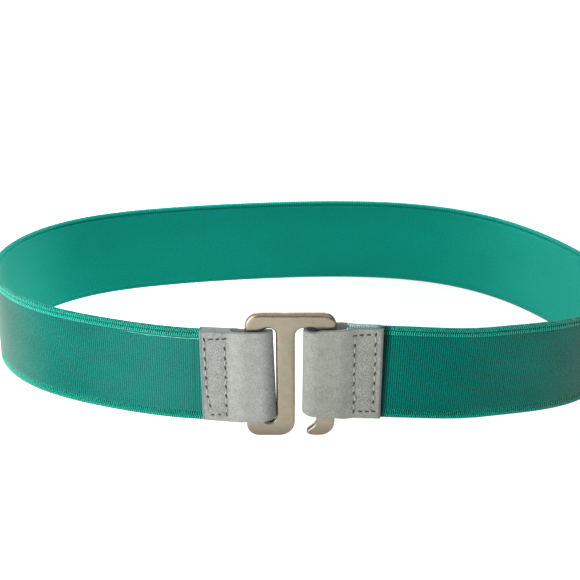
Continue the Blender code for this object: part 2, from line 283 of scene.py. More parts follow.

# Colours of the elastic, each a pair for groove and crest, the groove's darkened by painted shade and
# the crest's lightened by a painted highlight: outer face, ends made paler by painted light, and inner
# face
Elastic = namedtuple("Elastic", "name outer pale inner relief sheen")
WEB = Elastic(
    name="teal_elastic", relief=0.25, sheen=0.3,
    outer=((0.001, 0.058, 0.042), (0.002, 0.222, 0.178)),
    pale=((0.008, 0.112, 0.088), (0.016, 0.252, 0.208)),
    inner=((0.001, 0.148, 0.113), (0.001, 0.275, 0.211)),
)
CORDS = Elastic(
    name="teal_selvage", relief=0.2, sheen=0.12,
    outer=((0.001, 0.012, 0.008), (0.024, 0.55, 0.415)),
    pale=((0.001, 0.01, 0.006), (0.032, 0.58, 0.44)),
    inner=((0.001, 0.16, 0.12), (0.003, 0.29, 0.224)),
)
HEM = CORDS._replace(
    name="teal_hem",
    outer=((0.001, 0.024, 0.016), (0.01, 0.5, 0.37)),
    pale=((0.001, 0.028, 0.018), (0.012, 0.54, 0.405)),
)

# Leathers and threads, each between a dark and a light colour
Leather = namedtuple("Leather", "name dark light roughness")
LEFT_GRAIN = Leather("pale_grey_leather", (0.155, 0.165, 0.15), (0.42, 0.433, 0.402), 0.55)
RIGHT_GRAIN = Leather("grey_leather", (0.135, 0.143, 0.122), (0.382, 0.394, 0.348), 0.55)
PAINTED_EDGE = Leather("painted_edge", (0.13, 0.142, 0.138), (0.232, 0.25, 0.246), 0.5)
# The suede back is paler, and is lightened further by painted light where it lies in the shaded hollow
# between the layers
LIT_LEATHER_BACK = Leather("leather_back_lit", (0.4, 0.4, 0.385), (0.58, 0.58, 0.56), 0.8)
Thread = namedtuple("Thread", "name dark light")
BORDER_HIGHLIGHT_THREAD = Thread("teal_thread_highlight", (0.1, 0.5, 0.42), (0.28, 0.76, 0.66))
GREY_THREAD = Thread("grey_thread", (0.27, 0.28, 0.255), (0.5, 0.51, 0.47))
# The stitch holes' colour is a painted shadow
HOLE_SHADOW = Thread("stitch_hole_shadow", (0.01, 0.011, 0.01), (0.03, 0.032, 0.028))

NICKEL_COOL = (0.275, 0.252, 0.184)
NICKEL_WARM = (0.31, 0.258, 0.196)
NICKEL_HAZE = (0.385, 0.335, 0.255)
# Painted shade darkens the nickel toward the floor: two heights in metres and the shares of its tint
# there
NICKEL_PAINTED_SHADE = (0.0, 0.008, 0.55, 1.0)

# The floor glows, more at the picture's left and in front: two places in metres, the glow at each
FLOOR_HALF = 20.0
FLOOR_HEIGHT = -0.1 * MM
FLOOR_GREY = (0.45, 0.45, 0.45)
GLOW_SIDE = (-0.12, 0.03, 1.5, 0.68)
GLOW_FRONT = (-0.9, -0.3, 0.7, 0.0)

# The studio's brightness by direction, from one share to another: up, to the left, above the floor
SKY_OVERHEAD = (0.25, 0.75, 0.08, 0.9)
SKY_LEFT = (-0.3, -0.8, 0.0, 0.9)
SKY_RIM = (0.02, 0.035, 1.0, 0.0)
WHITE = (1.0, 1.0, 1.0)

Light = namedtuple("Light", "name place target size power mirrored spread", defaults=(True, math.pi))
NARROW = math.radians(60)
LIGHTS = (
    Light("key_softbox", (-0.57, -0.26, 0.23), (0.0, -0.03, 0.03), (0.42, 0.42), 2.9),
    Light("left_bend_fill", (0.12, 0.16, 0.2), (-0.14, 0.06, 0.02), (0.1, 0.1), 0.2, False, NARROW),
    Light("right_bend_fill", (-0.12, 0.16, 0.2), (0.14, 0.06, 0.02), (0.1, 0.1), 0.11, False, NARROW),
    Light("back_card", (0.0, 0.5, 0.2), (0.0, 0.0, 0.04), (0.5, 0.34), 1.7),
)

# Camera, found from the photograph's perspective
PHOTO_SIZE = 580
CAMERA_FOCAL_PIXELS = 1040.0
CAMERA_PLACE = (-1.4 * MM, -376.57 * MM, 265.25 * MM)
CAMERA_PITCH = math.radians(28.059)
CAMERA_ROLL = math.radians(1.555)
SENSOR = 36.0
CLIP = (0.01, 100.0)


def ease(fraction):
    """Smooth step from 0 to 1, for numbers or arrays."""
    clamped = np.clip(fraction, 0.0, 1.0)
    return clamped * clamped * (3.0 - 2.0 * clamped)


def ease_between(value, start, end):
    return ease((value - start) / (end - start))


def mix(first, second, fraction):
    return first + (second - first) * fraction


def band_plan():
    """Distances, points and headings along the band's middle line, from the right tab to the left."""
    step = BAND_RUN / INTEGRATION_STEPS
    middles = (np.arange(INTEGRATION_STEPS) + 0.5) * step
    bends = np.interp(middles, np.linspace(0.0, BAND_RUN, len(BAND_BENDS)), BAND_BENDS)
    turns = bends * step
    headings = BAND_START_HEADING + np.concatenate(([0.0], np.cumsum(turns)))
    along = headings[:-1] + turns / 2
    x = BAND_START[0] + np.concatenate(([0.0], np.cumsum(np.cos(along) * step)))
    y = BAND_START[1] + np.concatenate(([0.0], np.cumsum(np.sin(along) * step)))
    return np.linspace(0.0, BAND_RUN, INTEGRATION_STEPS + 1), x, y, headings


PLAN = band_plan()


def plan_at(distance):
    """Points and headings at distances along the band, which runs on straight past its ends."""
    places, x, y, headings = PLAN
    distance = np.asarray(distance, float)
    inside = np.clip(distance, 0.0, BAND_RUN)
    heading = np.interp(inside, places, headings)
    beyond = distance - inside
    px = np.interp(inside, places, x) + np.cos(heading) * beyond
    py = np.interp(inside, places, y) + np.sin(heading) * beyond
    return px, py, heading


def rise_at(distance):
    """How far the band's lower edge lies above its plane."""
    right = RIGHT_END_RISE * ease(1.0 - distance / RISE_RUN)
    right_in_tab = RIGHT_RISE_IN_TAB * ease(-distance / ELASTIC_IN_TAB)
    left = LEFT_END_RISE * ease(1.0 - (BAND_RUN - distance) / RISE_RUN)
    return right + right_in_tab + left


def elastic_limit(distance):
    """Half the thickness that the tab leaves to the elastic, here and outside the tab."""
    from_end = np.minimum(distance, BAND_RUN - distance)
    into_tab = -from_end - TAB_SETBACK
    pressed = mix(MOUTH_HALF_ELASTIC, SEWN_HALF_ELASTIC, ease(into_tab / MOUTH_RUN))
    return mix(pressed, WEB_THICKNESS, ease((-into_tab - MOUTH_COVER) / MOUTH_RUN))


def band_points(distance, across, height):
    """Points of the band's frame at a distance along, a distance out of the line and a height."""
    px, py, heading = plan_at(distance)
    return np.stack(
        (px + np.sin(heading) * across, py - np.cos(heading) * across, height + rise_at(distance)), -1
    )


def woven_points(distance, across, height):
    """Points of the elastic, which is narrower inside the tabs."""
    distance, height = np.broadcast_arrays(distance, height)
    into_tab = -np.minimum(distance, BAND_RUN - distance) - TAB_SETBACK
    squeeze = TAB_SQUEEZE * ease(into_tab / TAB_SQUEEZE_RUN)
    top_held = distance > 0.0
    foot_held = 1.0 - (distance > BAND_RUN) * ease_between(into_tab, *LEFT_FOOT_FREE)
    share = height / BAND_WIDTH
    drawn_in = squeeze * (1.0 - share) * foot_held - squeeze * share * top_held
    return band_points(distance, across, height + drawn_in)


def lean_matrix():
    """From the belt's frame to the world: the lean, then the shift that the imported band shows."""
    lean = Euler((-LEAN_BACK, LEAN_SIDE, 0.0)).to_matrix()
    spans = round((BAND_RUN + 2 * ELASTIC_IN_TAB) / STATION_SPACING)
    distance = np.linspace(-ELASTIC_IN_TAB, BAND_RUN + ELASTIC_IN_TAB, spans + 1)[:, None]
    edges, halves = np.array(PART_SECTION).T * MM
    heights = np.concatenate((edges, BAND_WIDTH - edges))
    halves = np.minimum(np.tile(halves, 2), elastic_limit(distance))
    points = np.concatenate([band_points(distance, side * halves, heights) for side in (1, -1)])
    leaned = points.reshape(-1, 3) @ np.array(lean).T
    low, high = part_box("elastic_band")
    shift = (np.array(low) + np.array(high) - leaned.min(0) - leaned.max(0)) / 2
    return Matrix.Translation(Vector(shift)) @ lean.to_4x4()


TO_WORLD = lean_matrix()


def to_world(points):
    matrix = np.array(TO_WORLD)
    return points.reshape(-1, 3) @ matrix[:3, :3].T + matrix[:3, 3]


def add_object(name, data):
    item = bpy.data.objects.new(name, data)
    bpy.context.scene.collection.objects.link(item)
    return item


def make_object(name, points, faces, materials, uvs=None, face_materials=None, layers=None):
    """A piece from points of the belt's frame. layers holds named values for each point."""
    mesh = bpy.data.meshes.new(name)
    mesh.from_pydata(to_world(points).tolist(), [], faces.tolist())
    if face_materials is not None:
        mesh.polygons.foreach_set("material_index", face_materials)
    if uvs is not None:
        layer = mesh.uv_layers.new(name="weave")
        layer.data.foreach_set("uv", uvs[faces.ravel()].ravel())
    for label, values in (layers or {}).items():
        layer = mesh.attributes.new(label, "FLOAT", "POINT")
        layer.data.foreach_set("value", values.ravel())
    mesh.validate()
    mesh.shade_smooth()
    for material in materials:
        mesh.materials.append(material)
    item = add_object(name, mesh)
    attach(item, "root")
    return item


def grid_faces(rows, columns, cyclic_columns=False, flip=False):
    """Quads of a grid of points. A cyclic grid's last column joins the first."""
    row = np.arange(rows - 1)[:, None]
    column = np.arange(columns - 1)[None, :]
    corner = (row * columns + column).ravel()
    quads = np.stack((corner, corner + 1, corner + columns + 1, corner + columns), -1)
    if cyclic_columns:
        row = np.arange(rows - 1)
        last = row * columns + columns - 1
        first = row * columns
        quads = np.concatenate((quads, np.stack((last, first, first + columns, last + columns), -1)))
    return quads[:, ::-1] if flip else quads


class Nodes:
    """The node tree of a material or a world, with short calls for the nodes used here."""

    def __init__(self, owner, shader="Principled BSDF"):
        owner.use_nodes = True
        self.owner = owner
        self.tree = owner.node_tree
        self.shader = self.tree.nodes[shader]

    def feed(self, node, inputs):
        """Give a node's inputs, by name or number, their links, colours or numbers."""
        for key, value in inputs.items():
            socket = node.inputs[key]
            if isinstance(value, bpy.types.NodeSocket):
                self.tree.links.new(value, socket)
            elif socket.type == "RGBA":
                socket.default_value = (*value, 1.0)
            else:
                socket.default_value = value

    def add(self, kind, output, inputs=None, **settings):
        """One output of a new node."""
        node = self.tree.nodes.new(kind)
        for key, value in settings.items():
            setattr(node, key, value)
        self.feed(node, inputs or {})
        return node.outputs[output]

    def finish(self, **inputs):
        """Feed the shader, with _ for a space in its inputs' names, and return what it colours."""
        self.feed(self.shader, {key.replace("_", " "): value for key, value in inputs.items()})
        return self.owner

    def weave(self):
        """Centimetres along and up the band."""
        return self.add("ShaderNodeUVMap", "UV", uv_map="weave")

    def solid(self):
        """Metres in the row's frame."""
        return self.add("ShaderNodeTexCoord", "Object")

    def layer(self, name):
        """One of the mesh's named values, from 0 to 1."""
        return self.add("ShaderNodeAttribute", "Fac", attribute_name=name)

    def axis(self, vector, name):
        return self.add("ShaderNodeSeparateXYZ", name, {"Vector": vector})

    def place(self, vector, scale):
        """Coordinates times a scale on each axis."""
        return self.add("ShaderNodeMapping", "Vector", {"Vector": vector, "Scale": scale})

    def noise(self, vector, scale, detail=3.0, roughness=0.55):
        inputs = {"Vector": vector, "Scale": scale, "Detail": detail, "Roughness": roughness}
        return self.add("ShaderNodeTexNoise", "Fac", inputs)

    def cells(self, vector, scale):
        return self.add("ShaderNodeTexVoronoi", "Distance", {"Vector": vector, "Scale": scale})

    def math(self, operation, *values):
        return self.add("ShaderNodeMath", "Value", dict(enumerate(values)), operation=operation)

    def total(self, first, *others):
        for value in others:
            first = self.math("ADD", first, value)
        return first

    def span(self, value, low, high, to_low=0.0, to_high=1.0, interpolation="LINEAR"):
        """A value carried from one range to another, and held at its ends."""
        inputs = dict(enumerate((value, low, high, to_low, to_high)))
        return self.add("ShaderNodeMapRange", "Result", inputs, interpolation_type=interpolation)

    def ramp(self, value, rows, length):
        """A value read from rows of (place, share), straight between them, for places up to a length."""
        node = self.tree.nodes.new("ShaderNodeValToRGB")
        stops = node.color_ramp.elements
        while len(stops) < len(rows):
            stops.new(0.5)
        for stop, (place, share) in zip(stops, rows):
            stop.position = place / length
            stop.color = (share, share, share, 1.0)
        self.feed(node, {"Fac": self.math("MULTIPLY", value, 1.0 / length)})
        return node.outputs["Color"]

    def vector(self, operation, inputs):
        return self.add("ShaderNodeVectorMath", "Vector", inputs, operation=operation)

    def scale(self, colour, factor):
        return self.vector("SCALE", {"Vector": colour, "Scale": factor})

    def plus(self, first, second):
        return self.vector("ADD", {0: first, 1: second})

    def blend(self, factor, first, second):
        """Mix two colours, each three numbers or another node's."""
        return self.add("ShaderNodeMix", 2, {0: factor, 6: first, 7: second}, data_type="RGBA")

    def bump(self, height, strength, distance, **normal):
        inputs = {"Height": height, "Strength": strength, "Distance": distance, **normal}
        return self.add("ShaderNodeBump", "Normal", inputs)


def elastic_material(look):
    """Satin elastic with ribs and fine knuckles, with painted shade in its grooves and painted
    highlights on its crests, painted light toward its ends, a painted sheen where it bends and a painted
    shadow by a tab's mouth.
    """
    nodes = Nodes(bpy.data.materials.new(look.name))
    weave = nodes.weave()
    along = nodes.axis(weave, "X")
    knuckles = nodes.noise(nodes.place(weave, (10.5, 14.0, 1.0)), 1.0, 1.0)
    courses = nodes.math("SINE", nodes.math("MULTIPLY", nodes.axis(weave, "Y"), 84.0))
    clouds = nodes.noise(nodes.place(weave, (0.35, 0.6, 1.0)), 1.0, 2.0)
    tone = nodes.total(
        # The rib tone paints shade into the grooves and a highlight onto the crests
        nodes.math("MULTIPLY", nodes.layer("rib_painted_shade"), 0.95),
        nodes.span(knuckles, 0.25, 0.75, -0.33, 0.27),
        nodes.math("MULTIPLY", courses, 0.05),
        nodes.span(clouds, 0.3, 0.7, -0.02, 0.12),
    )
    outer, pale, inner, tucked_highlight = (
        nodes.blend(tone, *pair) for pair in (look.outer, look.pale, look.inner, TUCKED_HIGHLIGHT)
    )
    # Painted light: paler toward the left end and on the top tucked into the right tab
    outside = nodes.blend(nodes.span(along, *PAINTED_LIGHT_END), outer, pale)
    outside = nodes.blend(nodes.span(along, *TUCKED_HIGHLIGHT_RUN), outside, tucked_highlight)
    inward = nodes.layer("inward")
    colour = nodes.blend(inward, outside, inner)
    # A grey painted sheen, strongest where the elastic bends
    sheen_grey = nodes.blend(inward, SHEEN_OUTSIDE, SHEEN_INSIDE)
    colour = nodes.plus(colour, nodes.scale(sheen_grey, nodes.ramp(along, PAINTED_SHEEN, BAND_RUN / (10 * MM))))
    # A painted shadow on the elastic beside the right tab's mouth
    from_mouth = nodes.math("ABSOLUTE", nodes.math("SUBTRACT", along, RIGHT_MOUTH))
    return nodes.finish(
        Base_Color=nodes.scale(colour, nodes.span(from_mouth, *MOUTH_SHADE, 0.25, 1.0)),
        Roughness=nodes.span(knuckles, 0.3, 0.7, 0.45, 0.6),
        Normal=nodes.bump(knuckles, look.relief, 0.1 * MM),
        Specular_IOR_Level=0.02,
        Sheen_Weight=look.sheen,
        Sheen_Roughness=0.3,
    )


def leather_material(look):
    """Smooth dyed leather with a fine pebbled grain, which stands out more where it is pressed."""
    nodes = Nodes(bpy.data.materials.new(look.name))
    solid = nodes.solid()
    mottle = nodes.noise(solid, 260.0, 3.0)
    pebbles = nodes.noise(solid, 1800.0, 2.0, 0.6)
    pores = nodes.cells(solid, 1500.0)
    pressed = nodes.layer("pressed")
    grain = nodes.total(
        nodes.span(pebbles, 0.25, 0.75, -0.5, 0.5),
        nodes.span(pores, 0.1, 0.6, -0.25, 0.25),
    )
    grain = nodes.math("MULTIPLY", grain, nodes.span(pressed, 0.0, 1.0, 0.52, 0.85))
    tone = nodes.total(grain, nodes.span(mottle, 0.3, 0.7, 0.44, 0.64))
    tone = nodes.math("SUBTRACT", tone, nodes.span(pressed, 0.0, 1.0, 0.0, 0.08))
    # Painted shade toward the fold
    tone = nodes.math("SUBTRACT", tone, nodes.layer("rubbed"))
    height = nodes.total(nodes.span(pores, 0.05, 0.55), nodes.math("MULTIPLY", pebbles, 1.8))
    return nodes.finish(
        Base_Color=nodes.blend(tone, look.dark, look.light),
        Roughness=nodes.span(mottle, 0.3, 0.7, look.roughness - 0.05, look.roughness + 0.08),
        Normal=nodes.bump(height, 0.7, 0.1 * MM),
        Specular_IOR_Level=0.25,
    )


def nickel_material(name):
    """Satin nickel with warm and cool tints, hazy patches, fine rubbing marks and painted shade toward
    the floor.
    """
    nodes = Nodes(bpy.data.materials.new(name))
    solid = nodes.solid()
    tint = nodes.noise(solid, 110.0, 2.0)
    haze = nodes.noise(solid, 300.0, 4.0, 0.65)
    swell = nodes.noise(solid, 140.0, 1.0)
    marks = nodes.noise(nodes.place(solid, (900.0, 900.0, 5200.0)), 1.0, 3.0, 0.7)
    colour = nodes.blend(nodes.span(tint, 0.4, 0.6), NICKEL_COOL, NICKEL_WARM)
    colour = nodes.blend(nodes.span(haze, 0.35, 0.75, 0.0, 0.55), colour, NICKEL_HAZE)
    height = nodes.total(nodes.math("MULTIPLY", haze, 0.7), nodes.math("MULTIPLY", marks, 0.3))
    rough = nodes.total(nodes.span(haze, 0.3, 0.7, 0.22, 0.34), nodes.span(marks, 0.4, 0.7, 0.0, 0.07))
    return nodes.finish(
        # Painted shade toward the floor
        Base_Color=nodes.scale(colour, nodes.span(nodes.axis(solid, "Z"), *NICKEL_PAINTED_SHADE)),
        Roughness=rough,
        Normal=nodes.bump(height, 0.35, 0.06 * MM, Normal=nodes.bump(swell, 1.0, 0.5 * MM)),
        Metallic=1.0,
    )


def thread_material(look):
    """Matt thread of fine strands."""
    nodes = Nodes(bpy.data.materials.new(look.name))
    strands = nodes.noise(nodes.solid(), 2400.0, 2.0)
    return nodes.finish(
        Base_Color=nodes.blend(nodes.span(strands, 0.3, 0.7), look.dark, look.light),
        Roughness=nodes.span(strands, 0.3, 0.7, 0.45, 0.65),
        Normal=nodes.bump(strands, 0.5, 0.05 * MM),
        Sheen_Weight=0.2,
    )


def rib_stations(beyond):
    """Distances of the woven stations along the elastic, and a share that closes its two ends."""
    count = int((BAND_RUN + 2 * ELASTIC_IN_TAB + beyond) / RIB_PITCH * len(RIB_HEIGHTS))
    distance = -ELASTIC_IN_TAB + np.arange(count) * RIB_PITCH / len(RIB_HEIGHTS)
    opened = np.ones(count)
    opened[[0, -1]] = 0.0
    opened[[1, -2]] = 0.8
    return distance[:, None], opened[:, None]


def in_turn(values, stations):
    """The values over and over, one for each station."""
    return np.resize(values, len(stations))[:, None]


def woven_uvs(distance, height):
    """Centimetres along and up the band, for each point."""
    return np.stack(np.broadcast_arrays(distance / (10 * MM), height / (10 * MM)), -1).reshape(-1, 2)


def make_web(material):
    """The flat middle of the elastic: ribbed outside, smoother inside, where it covers a cord."""
    distance, opened = rib_stations(0.0)
    outer = [(edge * MM, half * MM) for edge, half in LOWER_OUTER]
    outer += [(BAND_WIDTH - edge * MM, half * MM) for edge, half in reversed(UPPER_OUTER)]
    inner = [(BAND_WIDTH - edge * MM, -half * MM) for edge, half in INNER_FACE]
    inner += [(edge * MM, -half * MM) for edge, half in reversed(INNER_FACE)]
    section = np.array(outer + inner)
    height, across = section[None, :, 0], section[None, :, 1]
    outside = (across > 0).astype(float)
    limit = elastic_limit(distance)
    away = np.minimum(distance, BAND_RUN - distance)
    clear = mix(1.0, FAINT_RIBS, ease((away - CLEAR_RIBS) / CLEAR_RIBS))
    relief = WEB_RELIEF * in_turn(RIB_HEIGHTS, distance) * clear * mix(INNER_RELIEF, 1.0, outside)
    relief = relief * np.minimum(1.0, limit / MM)
    placed = (np.clip(across, -limit, limit) + np.sign(across) * relief) * opened
    points = woven_points(distance, placed, height)
    # Painted shade in the grooves and painted highlights on the crests, fainter away from the tabs
    tone = mix(EVEN_TONE, in_turn(RIB_PAINTED_SHADES, distance), clear * mix(INNER_CONTRAST, 1.0, outside))
    faces = grid_faces(*points.shape[:2], cyclic_columns=True, flip=True)
    layers = {"rib_painted_shade": tone, "inward": np.broadcast_to(1.0 - outside, tone.shape)}
    uvs = woven_uvs(distance, height)
    return make_object("elastic_web", points, faces, [material], uvs, layers=layers)


def joined(parts):
    """One array of points and one of quads, from pairs of both."""
    all_points, all_faces, count = [], [], 0
    for points, faces in parts:
        all_points.append(points)
        all_faces.append(faces + count)
        count += len(points)
    return np.concatenate(all_points), np.concatenate(all_faces)


def make_selvage(name, cords, from_top, material):
    """Two ribbed cords along one edge. A chevron cord's ribs lean toward its outermost line."""
    station, opened = rib_stations(CORD_BEYOND)
    angle = 2 * math.pi * np.arange(CORD_SIDES)[None, :] / CORD_SIDES
    point = np.clip(1.0 - np.abs(angle - math.pi / 2) / (math.pi / 2), 0.0, 1.0)
    swell = (1.0 + CORD_RELIEF * in_turn(RIB_HEIGHTS, station)) * opened
    inward = np.broadcast_to(ease(0.5 - 0.9 * np.sin(angle)), (len(station), CORD_SIDES))
    quads = grid_faces(len(station), CORD_SIDES, cyclic_columns=True, flip=True)
    parts, uvs, tones = [], [], []
    for cord in cords:
        distance = station + cord.chevron * CHEVRON_REACH * point
        limit = elastic_limit(distance)
        out = np.clip(np.sin(angle) * cord.half_thickness * MM * swell, -limit, limit)
        centre = BAND_WIDTH - cord.centre * MM if from_top else cord.centre * MM
        height = centre - np.cos(angle) * cord.half_height * MM * swell
        if not from_top:
            height = height - HEM_DROP * ease_between(np.abs(distance - BAND_RUN / 2), *HEM_DROP_RUN)
        # Painted shade on the underside of the belt's lowest cord
        unshaded = 1.0 - cord.grubby * ease_between(np.cos(angle), 0.4, 0.7)
        parts.append((woven_points(distance, out, height).reshape(-1, 3), quads))
        uvs.append(woven_uvs(distance, height))
        # Painted shade in the grooves and painted highlights on the crests
        tones.append((in_turn(CORD_PAINTED_SHADES, station) * unshaded * cord.tone).ravel())
    points, faces = joined(parts)
    layers = {"rib_painted_shade": np.concatenate(tones), "inward": np.tile(inward.ravel(), len(cords))}
    make_object(name, points, faces, [material], np.concatenate(uvs), layers=layers)


def tube(centres, radii, sides, twist=0.0):
    """A closed tube round centre points: points and quads, its ends drawn to a point."""
    centres = np.asarray(centres)
    tangents = np.gradient(centres, axis=0)
    tangents /= np.linalg.norm(tangents, axis=1)[:, None]
    side = np.cross(tangents, (0.13, 0.21, 0.97))
    side /= np.linalg.norm(side, axis=1)[:, None]
    up = np.cross(side, tangents)
    angle = 2 * math.pi * np.arange(sides)[None, :] / sides
    ply = 1.0 + 0.16 * np.cos(2 * angle + twist * np.arange(len(centres))[:, None])
    radius = np.asarray(radii)[:, None] * (ply if twist else 1.0)
    points = (centres[:, None, :] + (np.cos(angle) * radius)[:, :, None] * side[:, None, :]
              + (np.sin(angle) * radius)[:, :, None] * up[:, None, :])
    return points.reshape(-1, 3), grid_faces(len(centres), sides, cyclic_columns=True)


def make_border_thread(material):
    """The loose pale thread, which wavers a little and starts thin; its pale colour is partly a painted
    highlight.
    """
    distance = np.arange(*BORDER_RUN, BORDER_STEP)
    turns = distance / MM
    height = BORDER_HEIGHT + 0.07 * MM * (np.sin(turns / 2.3) + 0.6 * np.sin(turns / 0.9 + 1.0))
    across = BORDER_OUT + 0.03 * MM * np.sin(turns / 1.7)
    swell = BORDER_RADIUS * (1.0 + 0.3 * np.sin(turns / 1.1))
    swell *= mix(0.2, 1.0, ease((distance - distance[0]) / BORDER_TAPER))
    points, faces = tube(woven_points(distance, across, height), swell, BORDER_SIDES)
    uvs = woven_uvs(np.repeat(distance, BORDER_SIDES), 0.0)
    make_object("border_thread", points, faces, [material], uvs)


def tab_half_gap(along):
    """Half the distance between the two leather layers' middles, before the fold's nose."""
    leather = CLEARANCE + LEATHER_THICKNESS / 2
    sewn = SEWN_HALF_ELASTIC + leather
    mouth = MOUTH_HALF_ELASTIC + leather
    spread = BUCKLE_THICKNESS / 2 + leather + CLEARANCE
    opened = mix(sewn, spread, ease((along - SPREAD_FROM) / SPREAD_RUN))
    return opened + (mouth - sewn) * ease(1.0 - along / MOUTH_RUN)


def tab_path(tab, level):
    """Plan of the folded leather as along, from the mouth, across and a unit normal, mouth to mouth."""
    mouth = mix(tab.foot_mouth, tab.top_mouth, level)
    nose_start = mix(tab.foot_fold, tab.top_fold, level) - NOSE_LENGTH
    nose_run = NOSE_LENGTH - LEATHER_THICKNESS / 2
    nose_half = tab_half_gap(nose_start)
    sewn = np.linspace(0.0, 1.0, math.ceil(TURN_AT / SEWN_SPACING), endpoint=False)
    fold = np.linspace(TURN_AT, nose_start, FOLD_COLUMNS, endpoint=False)
    front = np.concatenate((mix(mouth, TURN_AT, sewn), fold))
    back = np.concatenate((mix(mouth + tab.back_mouth, TURN_AT, sewn), fold))[::-1]
    # The strip is laid from across below zero to across above zero
    first, last = (front, back) if tab.front < 0 else (back[::-1], front[::-1])
    angle = math.pi * (np.linspace(0.0, 1.0, NOSE_STEPS + 1) - 0.5)
    along = np.concatenate((first, nose_start + nose_run * np.cos(angle), last))
    across = np.concatenate((-tab_half_gap(first), nose_half * np.sin(angle), tab_half_gap(last)))
    from_mouth = np.concatenate((first - first[0], np.full(len(angle), 1.0), last - last[-1]))
    tangent = np.stack((np.gradient(along), np.gradient(across)), -1)
    tangent /= np.linalg.norm(tangent, axis=1)[:, None]
    return along, from_mouth, across, tangent[:, 1], -tangent[:, 0]


def tab_points(tab, along, across, height):
    """Points of the belt's frame from the tab's own along, across and height."""
    x, y, heading = (float(value) for value in plan_at(tab.place))
    cosine, sine = math.cos(heading + tab.turn), math.sin(heading + tab.turn)
    return np.stack(np.broadcast_arrays(
        x + along * cosine - across * sine, y + along * sine + across * cosine, height), -1)


def stitch_holes(tab):
    """The stitch holes in order round the closed line, as (along, height) in metres."""
    points = np.array(tab.stitch_line + tab.stitch_line[:1]) * MM
    ends = tab.stitch_corners[1:] + (len(tab.stitch_line),)
    holes = []
    for start, end, count in zip(tab.stitch_corners, ends, tab.stitch_counts):
        run = points[start:end + 1]
        lengths = np.concatenate(([0.0], np.cumsum(np.linalg.norm(np.diff(run, axis=0), axis=1))))
        for step in range(count):
            at = lengths[-1] * step / count
            holes.append([np.interp(at, lengths, run[:, axis]) for axis in (0, 1)])
    return np.array(holes)


def dent(away, size):
    """A dent's depth at distances from it, where its size is its depth and its reach."""
    depth, reach = size
    return depth * np.exp(-((away / reach) ** 2))


def dents(tab, along, height):
    """How far the stitching pulls the leather in, at points of a layer."""
    holes = stitch_holes(tab)
    depth = np.zeros(np.broadcast(along, height).shape)
    for (ax, az), (bx, bz) in zip(holes, np.roll(holes, -1, axis=0)):
        dx, dz = bx - ax, bz - az
        share = np.clip(((along - ax) * dx + (height - az) * dz) / (dx * dx + dz * dz), 0.0, 1.0)
        line = dent(np.hypot(along - ax - dx * share, height - az - dz * share), STITCH_DENT)
        hole = dent(np.hypot(along - ax, height - az), HOLE_DENT)
        depth = np.maximum(depth, np.maximum(line, hole))
    return depth


def soft_waves(along, height, seed):
    """A smooth, small unevenness of hand-folded leather."""
    return (np.sin(along / (5.3 * MM) + height / (7.9 * MM) + seed)
            + 0.7 * np.sin(along / (3.1 * MM) - height / (11.0 * MM) + 2.0 * seed)
            + 0.5 * np.sin(height / (4.4 * MM) + along / (9.0 * MM) + 3.0 * seed))


def round_over(share):
    """The height of a quarter round, for a share of the way in from its edge."""
    return np.sqrt(1.0 - (1.0 - share) ** 2)


def tab_rows():
    """Rows across a strip, foot to top: how far up, how far in from the edge, share of thickness."""
    edge = [(share * LEATHER_ROUND, mix(EDGE_THICKNESS, 1.0, round_over(share)))
            for share in EDGE_ROUNDING[:-1]]
    levels = np.linspace(0.0, 1.0, math.ceil(BAND_WIDTH / TAB_ROW_SPACING))
    middle = [(level, LEATHER_ROUND, 1.0) for level in levels]
    return [(0.0, *row) for row in edge] + middle + [(1.0, *row) for row in reversed(edge)]


def tab_row(tab, level, inset, thick):
    """One row of a strip, mouth to mouth: outer points, inner points, how pressed and how much painted
    shade darkens it toward its fold.
    """
    along, from_mouth, across, nx, ny = tab_path(tab, level)
    edges = np.array(tab.edges).T * MM
    low, high = (np.interp(along, edges[0], heights) for heights in edges[1:])
    dip = ease_between(along, *BACK_DIP_FROM) * ease_between(along, *BACK_DIP_TO)
    high = high - tab.back_dip * dip * (across > 0.0)
    height = mix(low + inset, high - inset, level)
    half = LEATHER_THICKNESS / 2 * thick
    bevel = round_over(np.clip(from_mouth / MOUTH_BEVEL, 0.0, 1.0))
    # Along the sewn part the two layers meet at their edges, under the paint
    sewn = ease(from_mouth / MOUTH_BEVEL) * ease_between(along, *RIM_OPENS)
    if level > 0.5:
        sewn = sewn * tab.top_sewn
    rim = np.maximum(1.0 - (height - low) / RIM_CLOSED, 1.0 - (high - height) / RIM_CLOSED)
    inner = mix(half, np.abs(across) - RIM_SLIT, sewn * ease(rim))
    flat = ease((tab.foot_fold - NOSE_LENGTH - along) / WAVES_FADE)
    pull = dents(tab, along, height) * (along < DENTS_END) * thick
    wave = WAVE * soft_waves(along, height, tab.seed + np.sign(across)) * flat
    puff = dent(along - 0.5 * SEWN_LENGTH, PUFF) * flat
    outer = half * mix(MOUTH_THICKNESS, 1.0, bevel) - pull + wave + puff
    return (
        tab_points(tab, along + nx * outer, across + ny * outer, height),
        tab_points(tab, along - nx * inner, across - ny * inner, height),
        ease_between(along, *PRESSED_END),
        tab.rubbed * ease_between(along, *PAINTED_FOLD_SHADE_RUN),
    )


